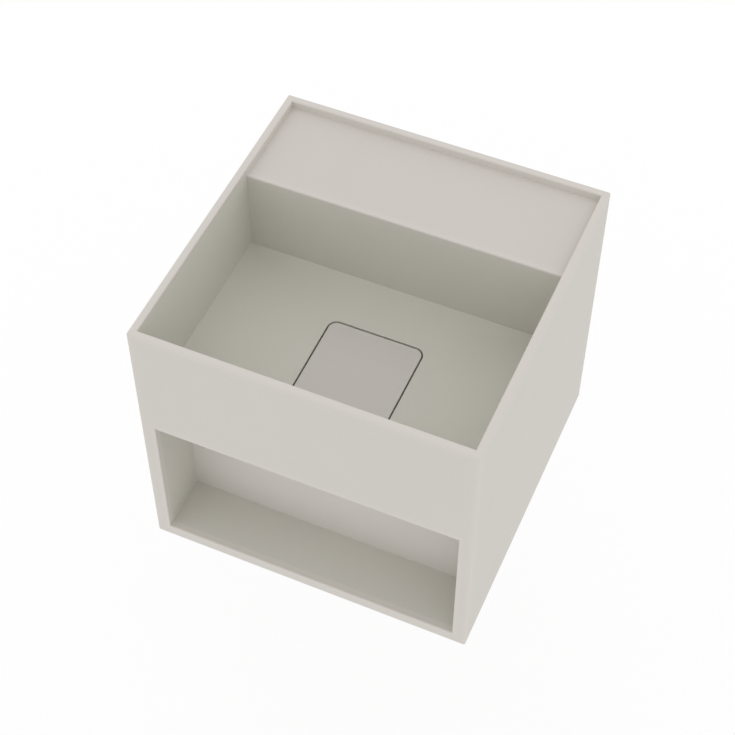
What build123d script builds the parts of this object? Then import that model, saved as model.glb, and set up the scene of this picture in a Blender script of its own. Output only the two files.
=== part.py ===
"""Wall-hung square hand basin, bonded from solid-surface sheets, with a storage niche and a concealed waste.

Millimetres. +Z is up, the wall is at +Y, the front faces -Y, and +X is to the right seen from the front.
The origin is at the middle of the basin's footprint, level with its lower edges.
"""
from build123d import *
import math
import os

# Overall size
basin_width = 400.0
basin_depth = 400.0
basin_height = 373.5

# Sheets and edges
wall_thickness = 8.8
lining_thickness = 8.0
arris_radius = 2.0

# Deck and bowl
deck_drop = 9.9
deck_depth = 123.3
bowl_depth = 122.5
floor_fall = 11.7
floor_core = 14.0
fall_corner_radius = 1.0
fall_mid_share = 0.42
fall_mid_drop = 0.53
fall_mid_radius = 42.0

# Niche
apron_height = 160.7
niche_depth = 72.0
skirt_height = 8.3

# Drain cover, its slot and its feet
cover_size = 115.0
cover_thickness = 8.0
cover_corner_radius = 10.0
cover_edge_radius = 0.6
slot_width = 2.1
foot_radius = 5.0
foot_standoff = 6.0
foot_socket_depth = 1.5
foot_inset = 8.0

# Drain tray under the pocket
tray_rim = 6.0
tray_clearance = 1.8
ledge_width = 10.0
recess_edge_depth = 3.0
recess_fall = 3.0
recess_corner_radius = 14.0
tray_floor = 6.5
tray_corner_radius = 18.0

# Wall fixings
fixing_spacing = 280.0
fixing_hole_radius = 7.0
fixing_drop = 73.5
back_panel_height = 140.0
hanger_rail_height = 60.0
tie_rail_pipe_gap = 19.5

# Waste
flange_radius = 32.0
flange_thickness = 2.5
flange_edge_radius = 1.0
flange_seat_clearance = 1.0
flange_seal_thickness = 1.0
flange_seal_width = 7.0
tail_radius = 20.95
tail_wall = 2.75
tail_length = 69.0
waste_hole_radius = 23.0
grid_radius = 25.0
grid_thickness = 1.5
grid_clearance = 0.1
grid_hole_radius = 3.0
grid_inner_count = 6
grid_inner_circle = 10.0
grid_outer_count = 12
grid_outer_circle = 19.0
throat_depth = 9.0
crossbar_count = 3
crossbar_width = 4.0
crossbar_height = 6.0
boss_radius = 5.5
screw_radius = 3.0
screw_fit = 0.05
screw_length = 16.0
screw_head_radius = 5.6
screw_slot_width = 1.2
screw_slot_depth = 1.0
cone_seal_radius = 32.0
cone_seal_thickness = 5.0
cone_seal_nose = 4.0
slip_washer_thickness = 1.5
waste_nut_flats = 56.0
waste_nut_height = 9.0
thread_fit = 0.08

# Trap
dip_tube_radius = 16.0
tube_wall = 1.5
collar_thickness = 3.0
collar_margin = 0.9
union_washer_thickness = 2.5
union_nut_height = 20.0
union_nut_lip = 3.3
nut_wall = 4.2
nut_chamfer = 1.0
grip_count = 12
grip_width = 3.2
grip_height = 1.8
grip_end_margin = 2.0
tube_fit = 0.3
socket_fit = 0.3
neck_radius = 20.95
neck_height = 10.0
cone_ring_height = 5.0
cone_ring_taper = 1.6
compression_nut_height = 18.0
compression_nut_lip = 3.0
trap_body_radius = 29.5
trap_wall = 2.5
trap_shoulder_radius = 7.0
trap_top_gap = 14.0
trap_outlet_drop = 22.0
trap_body_tail = 38.0
outlet_socket_depth = 14.0
outlet_stub_length = 19.0
outlet_insert_length = 40.0
outlet_mark_width = 1.5
outlet_mark_depth = 0.4
water_seal = 50.0
cup_fit = 0.3
cup_collar_wall = 3.7
cup_collar_height = 14.0
cup_seal_thickness = 2.0
cup_seal_width = 2.1
cup_floor_gap = 11.5
cup_floor_radius = 6.0
cup_thread_pitch = 5.0

# Worked out: the box
half_width = basin_width / 2
half_depth = basin_depth / 2
inner_half_width = half_width - wall_thickness
inner_half_depth = half_depth - wall_thickness
deck_top_z = basin_height - deck_drop
deck_front_y = inner_half_depth - deck_depth
bowl_front_y = -inner_half_depth
floor_wall_z = basin_height - bowl_depth
rear_wall_back_y = deck_front_y + wall_thickness

# Worked out: the niche
niche_top_z = basin_height - apron_height
niche_floor_z = skirt_height + lining_thickness
niche_back_y = -half_depth + niche_depth
lining_back_y = niche_back_y + lining_thickness
cheek_x = inner_half_width - lining_thickness
niche_ceiling_z = niche_top_z + lining_thickness

# Worked out: the drain pocket, as far forward as the niche lets it sit
pocket_size = cover_size + 2 * slot_width
pocket_corner_radius = cover_corner_radius + slot_width
tray_size = pocket_size + 2 * tray_rim
drain_y = lining_back_y + tray_clearance + tray_size / 2
drain_x = 0.0
cover_top_z = floor_wall_z - floor_fall
cover_bottom_z = cover_top_z - cover_thickness
ledge_z = cover_bottom_z - foot_standoff
slab_bottom_z = cover_top_z - floor_core
recess_size = pocket_size - 2 * ledge_width
recess_edge_z = ledge_z - recess_edge_depth
flange_top_z = recess_edge_z - recess_fall
flange_seat_z = flange_top_z - flange_thickness - flange_seal_thickness
tray_bottom_z = flange_seat_z - tray_floor
flange_seat_radius = flange_radius + flange_seat_clearance

# Worked out: the waste and trap, from the top down
throat_radius = tail_radius - tail_wall
tail_end_z = flange_top_z - tail_length
crossbar_top_z = flange_top_z - throat_depth
cone_seal_bottom_z = tray_bottom_z - cone_seal_thickness
slip_washer_bottom_z = cone_seal_bottom_z - slip_washer_thickness
waste_nut_bottom_z = slip_washer_bottom_z - waste_nut_height
collar_top_z = tail_end_z - union_washer_thickness
collar_radius = tail_radius - collar_margin
union_nut_bottom_z = collar_top_z - collar_thickness - union_nut_lip
union_nut_top_z = union_nut_bottom_z + union_nut_height
nut_bore_radius = tail_radius + thread_fit
tube_bore_radius = dip_tube_radius - tube_wall
trap_neck_z = union_nut_bottom_z - trap_top_gap
trap_shoulder_z = trap_neck_z - neck_height
outlet_z = trap_shoulder_z - trap_outlet_drop
trap_body_end_z = outlet_z - trap_body_tail
dip_tube_end_z = outlet_z - tube_bore_radius - water_seal
trap_bore_radius = trap_body_radius - trap_wall
cup_floor_z = dip_tube_end_z - cup_floor_gap
outlet_neck_y = drain_y + trap_body_radius + outlet_stub_length
fixing_z = basin_height - fixing_drop
tie_rail_height = outlet_z - dip_tube_radius - tie_rail_pipe_gap
drain_axis = Plane(origin=(drain_x, drain_y, 0), z_dir=(0, 0, 1))


def save(piece: BuildPart, label: str) -> None:
    """Label one finished piece and write it as a STEP file of that name."""
    piece.part.label = label
    export_step(piece.part, f"parts/{label}.step")


def block(x: tuple, y: tuple, z: tuple) -> BuildPart:
    """A plain square-edged sheet or block between pairs of X, Y and Z limits."""
    with BuildPart() as piece:
        with BuildSketch(Plane.XY.offset(z[0])):
            with Locations((sum(x) / 2, sum(y) / 2)):
                Rectangle(x[1] - x[0], y[1] - y[0])
        extrude(amount=z[1] - z[0])
    return piece


def turned(outline: list, seat: Plane, radius: float | list = 0.0) -> BuildPart:
    """A turned piece: (radius, height) points revolved about the seat's Z, with corners rounded by radius."""
    profile = Plane(origin=seat.origin, x_dir=seat.x_dir, z_dir=-seat.y_dir)
    with BuildPart() as piece:
        with BuildSketch(profile):
            with BuildLine():
                FilletPolyline(*outline, radius=radius, close=True)
            make_face()
        revolve(axis=Axis(seat.origin, seat.z_dir))
    return piece


def tube(outer: float, inner: float, bottom: float, top: float, seat: Plane = drain_axis) -> BuildPart:
    """A plain ring or tube between two heights along the seat's Z."""
    with BuildPart() as piece:
        with BuildSketch(seat.offset(bottom)):
            Circle(outer)
            Circle(inner, mode=Mode.SUBTRACT)
        extrude(amount=top - bottom)
    return piece


def rounded_square(size: float, radius: float, bottom: float, top: float) -> BuildPart:
    """A square prism with rounded uprights, centred on the drain."""
    with BuildPart() as piece:
        with BuildSketch(drain_axis.offset(bottom)):
            RectangleRounded(size, size, radius)
        extrude(amount=top - bottom)
    return piece


def plan_wedge(points: list, bottom: float, top: float) -> BuildPart:
    """A prism over a plan outline, used to cut a sheet out of the carcass with its mitres."""
    with BuildPart() as piece:
        with BuildSketch(Plane.XY.offset(bottom)):
            with BuildLine():
                Polyline(*points, close=True)
            make_face()
        extrude(amount=top - bottom)
    return piece


os.makedirs("parts", exist_ok=True)

# Carcass: the four walls as one ring with eased edges, from which the mitred sheets are cut
with BuildPart() as carcass:
    with BuildSketch():
        Rectangle(basin_width, basin_depth)
    extrude(amount=basin_height)
    fillet(carcass.edges(), arris_radius)
    with BuildSketch():
        Rectangle(2 * inner_half_width, 2 * inner_half_depth)
    extrude(amount=basin_height, mode=Mode.SUBTRACT)
    fillet(carcass.faces().sort_by(Axis.Z)[-1].inner_wires()[0].edges(), arris_radius)

# Front sheet, mitred at both ends, with the niche opening
front_plan = [
    (-half_width, -half_depth),
    (half_width, -half_depth),
    (inner_half_width, -inner_half_depth),
    (-inner_half_width, -inner_half_depth),
]
front_wedge = plan_wedge(front_plan, 0, basin_height)
with BuildPart() as front_panel:
    add(carcass.part)
    add(front_wedge.part, mode=Mode.INTERSECT)
    with BuildSketch(Plane.XZ.offset(half_depth)):
        with Locations((0, (niche_floor_z + niche_top_z) / 2)):
            Rectangle(2 * cheek_x, niche_top_z - niche_floor_z)
    extrude(amount=-wall_thickness, mode=Mode.SUBTRACT)
    fillet(front_panel.faces().filter_by(Axis.Y).sort_by(Axis.Y)[0].inner_wires()[0].edges(), arris_radius)
save(front_panel, "front_panel")

# Back sheet: the rim behind the deck, mitred to the sides, with the two wall-fixing holes
back_panel_z = basin_height - back_panel_height
back_plan = [
    (-half_width, half_depth),
    (half_width, half_depth),
    (inner_half_width, inner_half_depth),
    (-inner_half_width, inner_half_depth),
]
back_wedge = plan_wedge(back_plan, back_panel_z, basin_height)
fixing_plane = Plane(origin=(0, half_depth, fixing_z), x_dir=(1, 0, 0), z_dir=(0, -1, 0))
with BuildPart() as fixing_holes:
    with BuildSketch(fixing_plane):
        with GridLocations(fixing_spacing, 0, 2, 1):
            Circle(fixing_hole_radius)
    extrude(amount=2 * wall_thickness)
with BuildPart() as back_panel:
    add(carcass.part)
    add(back_wedge.part, mode=Mode.INTERSECT)
    add(fixing_holes.part, mode=Mode.SUBTRACT)
save(back_panel, "back_panel")

# Side sheets: full depth below the back sheet, mitred to it above
side_plan = [
    (-half_width, -half_depth),
    (-inner_half_width, -inner_half_depth),
    (-inner_half_width, half_depth),
    (-half_width, half_depth),
]
side_wedge = plan_wedge(side_plan, 0, basin_height)
with BuildPart() as left_side_panel:
    add(carcass.part)
    add(side_wedge.part, mode=Mode.INTERSECT)
    add(back_wedge.part, mode=Mode.SUBTRACT)
save(left_side_panel, "left_side_panel")

with BuildPart() as right_side_panel:
    mirror(left_side_panel.part, about=Plane.YZ)
save(right_side_panel, "right_side_panel")

# Deck and rear bowl wall: one folded outline, parted by the mitre along the deck's front edge
deck_outline = [
    (deck_front_y, floor_wall_z),
    (rear_wall_back_y, floor_wall_z),
    (rear_wall_back_y, deck_top_z - wall_thickness),
    (inner_half_depth, deck_top_z - wall_thickness),
    (inner_half_depth, deck_top_z),
    (deck_front_y, deck_top_z),
]
with BuildPart() as folded_top:
    with BuildSketch(Plane.YZ):
        with BuildLine():
            FilletPolyline(*deck_outline, radius=[0, 0, 0, 0, 0, arris_radius], close=True)
        make_face()
    extrude(amount=inner_half_width, both=True)
mitre_plane = Plane(origin=(0, deck_front_y, deck_top_z), x_dir=(1, 0, 0), z_dir=(0, 1, 1))

with BuildPart() as deck_panel:
    add(folded_top.part)
    split(bisect_by=mitre_plane, keep=Keep.TOP)
save(deck_panel, "deck_panel")

with BuildPart() as bowl_rear_wall:
    add(folded_top.part)
    split(bisect_by=mitre_plane, keep=Keep.BOTTOM)
save(bowl_rear_wall, "bowl_rear_wall")

# Bowl floor: a slab with a dished fall from the level wall line down to the level edge of the pocket
bowl_length = deck_front_y - bowl_front_y
bowl_middle_y = (deck_front_y + bowl_front_y) / 2
mid_width = 2 * inner_half_width + (pocket_size - 2 * inner_half_width) * fall_mid_share
mid_length = bowl_length + (pocket_size - bowl_length) * fall_mid_share
mid_y = bowl_middle_y + (drain_y - bowl_middle_y) * fall_mid_share
mid_radius = min(fall_mid_radius, mid_length / 3)
with BuildPart() as dished_fall:
    with BuildSketch(Plane.XY.offset(floor_wall_z)):
        with Locations((0, bowl_middle_y)):
            RectangleRounded(2 * inner_half_width, bowl_length, fall_corner_radius)
    with BuildSketch(Plane.XY.offset(floor_wall_z - floor_fall * fall_mid_drop)):
        with Locations((0, mid_y)):
            RectangleRounded(mid_width, mid_length, mid_radius)
    with BuildSketch(drain_axis.offset(cover_top_z)):
        RectangleRounded(pocket_size, pocket_size, pocket_corner_radius)
    loft()
between_sides = (-inner_half_width, inner_half_width)
slab = block(between_sides, (bowl_front_y, rear_wall_back_y), (slab_bottom_z, floor_wall_z))
pocket = rounded_square(pocket_size, pocket_corner_radius, slab_bottom_z, floor_wall_z)
with BuildPart() as bowl_floor:
    add(slab.part)
    add(dished_fall.part, mode=Mode.SUBTRACT)
    add(pocket.part, mode=Mode.SUBTRACT)
save(bowl_floor, "bowl_floor")

# Niche linings
niche_y = (bowl_front_y, niche_back_y)
niche_floor = block(between_sides, niche_y, (skirt_height, niche_floor_z))
save(niche_floor, "niche_floor")
niche_ceiling = block(between_sides, niche_y, (niche_top_z, niche_ceiling_z))
save(niche_ceiling, "niche_ceiling")
niche_back = block(between_sides, (niche_back_y, lining_back_y), (skirt_height, niche_ceiling_z))
save(niche_back, "niche_back")
niche_left_cheek = block((-inner_half_width, -cheek_x), niche_y, (niche_floor_z, niche_top_z))
save(niche_left_cheek, "niche_left_cheek")
with BuildPart() as niche_right_cheek:
    mirror(niche_left_cheek.part, about=Plane.YZ)
save(niche_right_cheek, "niche_right_cheek")

# Drain tray: ledge for the cover, recess that falls to the waste, and the flange seat
recess_slope_run = (recess_size / 2) * math.sqrt(2) - flange_seat_radius
recess_depth = ledge_z - flange_top_z
cone_spread = recess_depth * recess_slope_run / recess_fall
with BuildPart() as tray_recess:
    with Locations((drain_x, drain_y, flange_top_z)):
        Cone(
            flange_seat_radius,
            flange_seat_radius + cone_spread,
            recess_depth,
            align=(Align.CENTER, Align.CENTER, Align.MIN),
        )
    with BuildSketch(drain_axis.offset(flange_top_z)):
        RectangleRounded(recess_size, recess_size, recess_corner_radius)
    extrude(amount=recess_depth, mode=Mode.INTERSECT)
with BuildPart() as drain_tray:
    with BuildSketch(drain_axis.offset(tray_bottom_z)):
        RectangleRounded(tray_size, tray_size, tray_corner_radius)
    extrude(amount=slab_bottom_z - tray_bottom_z)
    add(tray_recess.part, mode=Mode.SUBTRACT)
    with BuildSketch(drain_axis.offset(flange_seat_z)):
        Circle(flange_seat_radius)
    extrude(amount=flange_top_z - flange_seat_z, mode=Mode.SUBTRACT)
    with BuildSketch(drain_axis.offset(tray_bottom_z)):
        Circle(waste_hole_radius)
    extrude(amount=flange_seat_z - tray_bottom_z, mode=Mode.SUBTRACT)
save(drain_tray, "drain_tray")

# Rails at the wall
hanger_z = (fixing_z - hanger_rail_height / 2, fixing_z + hanger_rail_height / 2)
hanger_blank = block(between_sides, (inner_half_depth - wall_thickness, inner_half_depth), hanger_z)
with BuildPart() as hanger_rail:
    add(hanger_blank.part)
    add(fixing_holes.part, mode=Mode.SUBTRACT)
save(hanger_rail, "hanger_rail")
rear_tie_rail = block(between_sides, (inner_half_depth, half_depth), (0, tie_rail_height))
save(rear_tie_rail, "rear_tie_rail")

# Drain cover: flush rounded square with eased top edge and sockets for its feet
foot_pitch = cover_size - 2 * foot_inset
with BuildPart() as drain_cover:
    with BuildSketch(drain_axis.offset(cover_bottom_z)):
        RectangleRounded(cover_size, cover_size, cover_corner_radius)
    extrude(amount=cover_thickness)
    fillet(drain_cover.faces().sort_by(Axis.Z)[-1].edges(), cover_edge_radius)
    with BuildSketch(drain_axis.offset(cover_bottom_z)):
        with GridLocations(foot_pitch, foot_pitch, 2, 2):
            Circle(foot_radius)
    extrude(amount=foot_socket_depth, mode=Mode.SUBTRACT)
save(drain_cover, "drain_cover")

# Rubber feet of the cover, pressed into their sockets and standing on the ledge
with BuildPart() as cover_feet:
    with BuildSketch(drain_axis.offset(ledge_z)):
        with GridLocations(foot_pitch, foot_pitch, 2, 2):
            Circle(foot_radius)
    extrude(amount=foot_standoff + foot_socket_depth)
save(cover_feet, "cover_feet")

# Waste body: flange, conical throat, threaded tail and the crossbar that takes the grid's screw
grid_seat_z = flange_top_z - grid_thickness
waste_outline = [
    (grid_radius + grid_clearance, flange_top_z),
    (flange_radius, flange_top_z),
    (flange_radius, flange_top_z - flange_thickness),
    (tail_radius, flange_top_z - flange_thickness),
    (tail_radius, tail_end_z),
    (throat_radius, tail_end_z),
    (throat_radius, grid_seat_z - tail_wall),
    (grid_radius - tail_wall, grid_seat_z),
    (grid_radius + grid_clearance, grid_seat_z),
]
waste_rounding = [0, flange_edge_radius, 0, 0, 0, 0, 0, 0, 0]
waste_shell = turned(waste_outline, drain_axis, waste_rounding)
with BuildPart() as waste_body:
    add(waste_shell.part)
    with BuildSketch(drain_axis.offset(crossbar_top_z - crossbar_height)):
        Circle(boss_radius)
        with PolarLocations(0, crossbar_count):
            with Locations((throat_radius / 2, 0)):
                Rectangle(throat_radius + tail_wall / 2, crossbar_width)
    extrude(amount=crossbar_height)
    with BuildSketch(drain_axis.offset(crossbar_top_z - crossbar_height)):
        Circle(screw_radius + screw_fit)
    extrude(amount=crossbar_height, mode=Mode.SUBTRACT)
save(waste_body, "waste_body")

# Grid: perforated disc in the flange, countersunk for its screw
with BuildPart() as waste_grid:
    with BuildSketch(drain_axis.offset(grid_seat_z)):
        Circle(grid_radius)
        with PolarLocations(grid_inner_circle, grid_inner_count):
            Circle(grid_hole_radius, mode=Mode.SUBTRACT)
        with PolarLocations(grid_outer_circle, grid_outer_count):
            Circle(grid_hole_radius, mode=Mode.SUBTRACT)
        Circle(screw_radius + screw_fit, mode=Mode.SUBTRACT)
    extrude(amount=grid_thickness)
save(waste_grid, "waste_grid")

# Grid screw: flat slotted head on the grid, shank down through the crossbar
screw_head_height = screw_head_radius - screw_radius
screw_tip_z = flange_top_z - screw_length
screw_outline = [
    (0, flange_top_z + screw_head_height),
    (screw_head_radius - screw_head_height / 2, flange_top_z + screw_head_height),
    (screw_head_radius, flange_top_z + screw_head_height / 2),
    (screw_head_radius, flange_top_z),
    (screw_radius, flange_top_z),
    (screw_radius, screw_tip_z),
    (0, screw_tip_z),
]
screw_blank = turned(screw_outline, drain_axis)
with BuildPart() as grid_screw:
    add(screw_blank.part)
    with BuildSketch(drain_axis.offset(flange_top_z + screw_head_height)):
        Rectangle(3 * screw_head_radius, screw_slot_width)
    extrude(amount=-screw_slot_depth, mode=Mode.SUBTRACT)
save(grid_screw, "grid_screw")

# Seals and nut that clamp the waste in the tray
flange_seal_bore = flange_radius - flange_seal_width
flange_seal = tube(flange_radius, flange_seal_bore, flange_seat_z, flange_seat_z + flange_seal_thickness)
save(flange_seal, "flange_seal")

cone_seal_outline = [
    (nut_bore_radius, cone_seal_bottom_z),
    (cone_seal_radius, cone_seal_bottom_z),
    (cone_seal_radius, tray_bottom_z),
    (waste_hole_radius, tray_bottom_z),
    (nut_bore_radius + thread_fit, tray_bottom_z + cone_seal_nose),
    (nut_bore_radius, tray_bottom_z + cone_seal_nose),
]
tail_cone_seal = turned(cone_seal_outline, drain_axis)
save(tail_cone_seal, "tail_cone_seal")

slip_washer = tube(cone_seal_radius, nut_bore_radius, slip_washer_bottom_z, cone_seal_bottom_z)
save(slip_washer, "slip_washer")

with BuildPart() as waste_nut:
    with BuildSketch(drain_axis.offset(waste_nut_bottom_z)):
        RegularPolygon(waste_nut_flats / 2, 6, major_radius=False)
        Circle(nut_bore_radius, mode=Mode.SUBTRACT)
    extrude(amount=waste_nut_height)
    chamfer(waste_nut.faces().sort_by(Axis.Z)[0].outer_wire().edges(), 1.0)
save(waste_nut, "waste_nut")


def gripped_nut(bore: float, hole: float, height: float, lip: float, seat: Plane) -> BuildPart:
    """A moulded nut with a lip at its far end, where only the tube passes, and grips round its outside.

    It starts at the seat and grows along the seat's Z, with the lip last.
    """
    outer = bore + nut_wall
    outline = [
        (bore, 0),
        (outer - nut_chamfer, 0),
        (outer, nut_chamfer),
        (outer, height - nut_chamfer),
        (outer - nut_chamfer, height),
        (hole, height),
        (hole, height - lip),
        (bore, height - lip),
    ]
    shell = turned(outline, seat)
    with BuildPart() as piece:
        add(shell.part)
        with BuildSketch(seat.offset(grip_end_margin)):
            with PolarLocations(outer, grip_count):
                Rectangle(2 * grip_height, grip_width)
        extrude(amount=height - 2 * grip_end_margin)
    return piece


def cone_ring(seat: Plane) -> BuildPart:
    """A tapered rubber ring that a compression nut squeezes onto the tube and the neck's mouth."""
    bore = dip_tube_radius + thread_fit
    outer = neck_radius - thread_fit
    taper_start = cone_ring_height - cone_ring_taper
    tip = outer - cone_ring_taper
    outline = [(bore, 0), (outer, 0), (outer, taper_start), (tip, cone_ring_height), (bore, cone_ring_height)]
    return turned(outline, seat)


# Union between the tail and the dip tube: the nut's lip carries the tube's collar
union_seat = Plane(origin=(drain_x, drain_y, union_nut_top_z), x_dir=(1, 0, 0), z_dir=(0, 0, -1))
lip_bore = dip_tube_radius + tube_fit
union_nut = gripped_nut(nut_bore_radius, lip_bore, union_nut_height, union_nut_lip, union_seat)
save(union_nut, "union_nut")

union_washer = tube(collar_radius, throat_radius, collar_top_z, tail_end_z)
save(union_washer, "union_washer")

dip_outline = [
    (tube_bore_radius, collar_top_z),
    (collar_radius, collar_top_z),
    (collar_radius, collar_top_z - collar_thickness),
    (dip_tube_radius, collar_top_z - collar_thickness),
    (dip_tube_radius, dip_tube_end_z),
    (tube_bore_radius, dip_tube_end_z),
]
dip_tube = turned(dip_outline, drain_axis)
save(dip_tube, "dip_tube")

# Trap body: upright housing, top neck for the dip tube, side stub and neck for the outlet
neck_bore = dip_tube_radius + socket_fit
body_outside = [
    (0, trap_neck_z),
    (neck_radius, trap_neck_z),
    (neck_radius, trap_shoulder_z),
    (trap_body_radius, trap_shoulder_z),
    (trap_body_radius, trap_body_end_z),
    (0, trap_body_end_z),
]
body_inside = [
    (0, trap_neck_z),
    (neck_bore, trap_neck_z),
    (neck_bore, trap_shoulder_z - trap_wall),
    (trap_bore_radius - trap_wall, trap_shoulder_z - trap_wall),
    (trap_bore_radius, trap_shoulder_z - 2 * trap_wall),
    (trap_bore_radius, trap_body_end_z),
    (0, trap_body_end_z),
]
trap_housing = turned(body_outside, drain_axis, [0, 0, 0, trap_shoulder_radius, 0, 0])
trap_hollow = turned(body_inside, drain_axis)
outlet_seat = Plane(origin=(drain_x, drain_y, outlet_z), x_dir=(1, 0, 0), z_dir=(0, 1, 0))
stub_end = outlet_neck_y - drain_y
with BuildPart() as trap_body:
    add(trap_housing.part)
    with BuildSketch(outlet_seat):
        Circle(neck_radius)
    extrude(amount=stub_end)
    add(trap_hollow.part, mode=Mode.SUBTRACT)
    with BuildSketch(outlet_seat):
        Circle(tube_bore_radius)
    extrude(amount=stub_end, mode=Mode.SUBTRACT)
    with BuildSketch(outlet_seat.offset(stub_end - outlet_socket_depth)):
        Circle(neck_bore)
    extrude(amount=outlet_socket_depth, mode=Mode.SUBTRACT)
save(trap_body, "trap_body")

# Compression joint on the top neck
top_joint = Plane(origin=(drain_x, drain_y, trap_neck_z), x_dir=(1, 0, 0), z_dir=(0, 0, 1))
nut_start = cone_ring_height + compression_nut_lip - compression_nut_height
trap_top_nut = gripped_nut(
    nut_bore_radius, lip_bore, compression_nut_height, compression_nut_lip, top_joint.offset(nut_start)
)
save(trap_top_nut, "trap_top_nut")
trap_top_seal = cone_ring(top_joint)
save(trap_top_seal, "trap_top_seal")

# Compression joint and pipe on the outlet
outlet_joint = Plane(origin=(drain_x, outlet_neck_y, outlet_z), x_dir=(1, 0, 0), z_dir=(0, 1, 0))
outlet_nut = gripped_nut(
    nut_bore_radius, lip_bore, compression_nut_height, compression_nut_lip, outlet_joint.offset(nut_start)
)
save(outlet_nut, "outlet_nut")
outlet_seal = cone_ring(outlet_joint)
save(outlet_seal, "outlet_seal")
pipe_end = half_depth - outlet_neck_y
mark_end = pipe_end - outlet_insert_length
mark_radius = dip_tube_radius - outlet_mark_depth
pipe_outline = [
    (tube_bore_radius, -outlet_socket_depth),
    (dip_tube_radius, -outlet_socket_depth),
    (dip_tube_radius, mark_end - outlet_mark_width),
    (mark_radius, mark_end - outlet_mark_width),
    (mark_radius, mark_end),
    (dip_tube_radius, mark_end),
    (dip_tube_radius, pipe_end),
    (tube_bore_radius, pipe_end),
]
outlet_pipe = turned(pipe_outline, outlet_joint)
save(outlet_pipe, "outlet_pipe")

# Cup and its seal: the collar screws up over the housing's lower thread
cup_seal_z = trap_body_end_z - cup_seal_thickness
collar_bore = trap_body_radius + cup_fit
collar_outer = collar_bore + cup_collar_wall
collar_top = cup_seal_z + cup_collar_height
cup_outline = [
    (0, cup_floor_z),
    (trap_bore_radius - trap_wall, cup_floor_z),
    (trap_bore_radius, cup_floor_z + trap_wall),
    (trap_bore_radius, cup_seal_z),
    (collar_bore, cup_seal_z),
    (collar_bore, collar_top),
    (collar_outer - nut_chamfer, collar_top),
    (collar_outer, collar_top - nut_chamfer),
    (collar_outer, cup_seal_z - cup_collar_wall),
    (trap_body_radius, cup_seal_z - 2 * cup_collar_wall),
    (trap_body_radius, cup_floor_z - trap_wall),
    (0, cup_floor_z - trap_wall),
]
cup_rounding = [0, 0, 0, 0, 0, 0, 0, 0, 0, 0, cup_floor_radius, 0]
cup_shell = turned(cup_outline, drain_axis, cup_rounding)
with BuildPart() as trap_cup:
    add(cup_shell.part)
    with BuildSketch(drain_axis.offset(cup_seal_z)):
        with PolarLocations(collar_outer, grip_count):
            Rectangle(2 * grip_height, grip_width)
    extrude(amount=cup_collar_height - grip_end_margin)
save(trap_cup, "trap_cup")

cup_seal = tube(trap_body_radius, trap_body_radius - cup_seal_width, cup_seal_z, trap_body_end_z)
save(cup_seal, "cup_seal")

cup_bottom_z = cup_floor_z - trap_wall
cup_travel = collar_top - trap_body_end_z
cup_turns = cup_travel / cup_thread_pitch
print(f"Drain centre at y {drain_y:.2f}, cover top at z {cover_top_z:.2f}, outlet at z {outlet_z:.2f}")
print(f"Cup bottom at z {cup_bottom_z:.2f}, and {cup_travel:.2f} lower after {cup_turns:.2f} turns")
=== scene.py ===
"""Looks of the wall-hung hand basin: its finishes, fine fittings, floor, light and camera.

Metres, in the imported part's own frame: +Z is up, the wall is at +Y and the front faces -Y.
"""

import logging
import math
from collections.abc import Callable
from dataclasses import dataclass
from enum import Enum

import bmesh
import bpy
from mathutils import Matrix, Vector


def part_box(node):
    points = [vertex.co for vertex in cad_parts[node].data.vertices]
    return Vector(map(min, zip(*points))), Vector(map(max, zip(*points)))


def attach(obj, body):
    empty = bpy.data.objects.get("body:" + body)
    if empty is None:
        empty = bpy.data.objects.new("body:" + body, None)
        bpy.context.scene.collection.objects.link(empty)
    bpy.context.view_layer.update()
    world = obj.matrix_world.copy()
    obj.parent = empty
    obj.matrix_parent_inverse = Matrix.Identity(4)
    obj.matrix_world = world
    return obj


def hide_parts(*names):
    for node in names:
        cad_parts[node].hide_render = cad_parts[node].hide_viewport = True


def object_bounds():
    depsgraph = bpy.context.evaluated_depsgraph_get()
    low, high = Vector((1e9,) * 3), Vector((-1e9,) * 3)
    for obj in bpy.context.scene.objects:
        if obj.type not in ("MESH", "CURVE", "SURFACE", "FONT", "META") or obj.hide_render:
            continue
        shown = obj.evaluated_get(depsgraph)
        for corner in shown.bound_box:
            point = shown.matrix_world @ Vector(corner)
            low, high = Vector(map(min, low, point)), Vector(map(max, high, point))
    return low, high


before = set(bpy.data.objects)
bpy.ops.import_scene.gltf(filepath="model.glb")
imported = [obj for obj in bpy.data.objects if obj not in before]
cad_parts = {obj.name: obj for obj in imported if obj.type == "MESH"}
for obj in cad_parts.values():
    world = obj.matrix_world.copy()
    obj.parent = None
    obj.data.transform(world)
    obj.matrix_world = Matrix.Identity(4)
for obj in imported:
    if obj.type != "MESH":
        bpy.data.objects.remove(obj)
cad_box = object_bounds()

MM = 0.001
TINY = 0.005 * MM
AROUND = 96
UP = Vector((0, 0, 1))
FLAT_TURN = math.radians(0.5)
CREASE_TURN = math.radians(35)
ROUNDED_TURN = math.radians(50)
SRGB_KNEE = 0.04045
SRGB_SLOPE = 12.92
SRGB_OFFSET = 0.055
SRGB_POWER = 2.4
Outline = list[tuple[float, float]]
log = logging.getLogger("basin")


class Slot(Enum):
    """The record's material slots."""

    SOLID_SURFACE = "solid_surface"
    CHROME = "chromed_brass"
    STEEL = "stainless_steel"
    RUBBER = "black_rubber"
    PLASTIC = "white_polypropylene"


class Body(Enum):
    """The bodies that added pieces ride on."""

    ROOT = "root"
    COVER = "cover"
    CUP = "cup"


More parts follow.
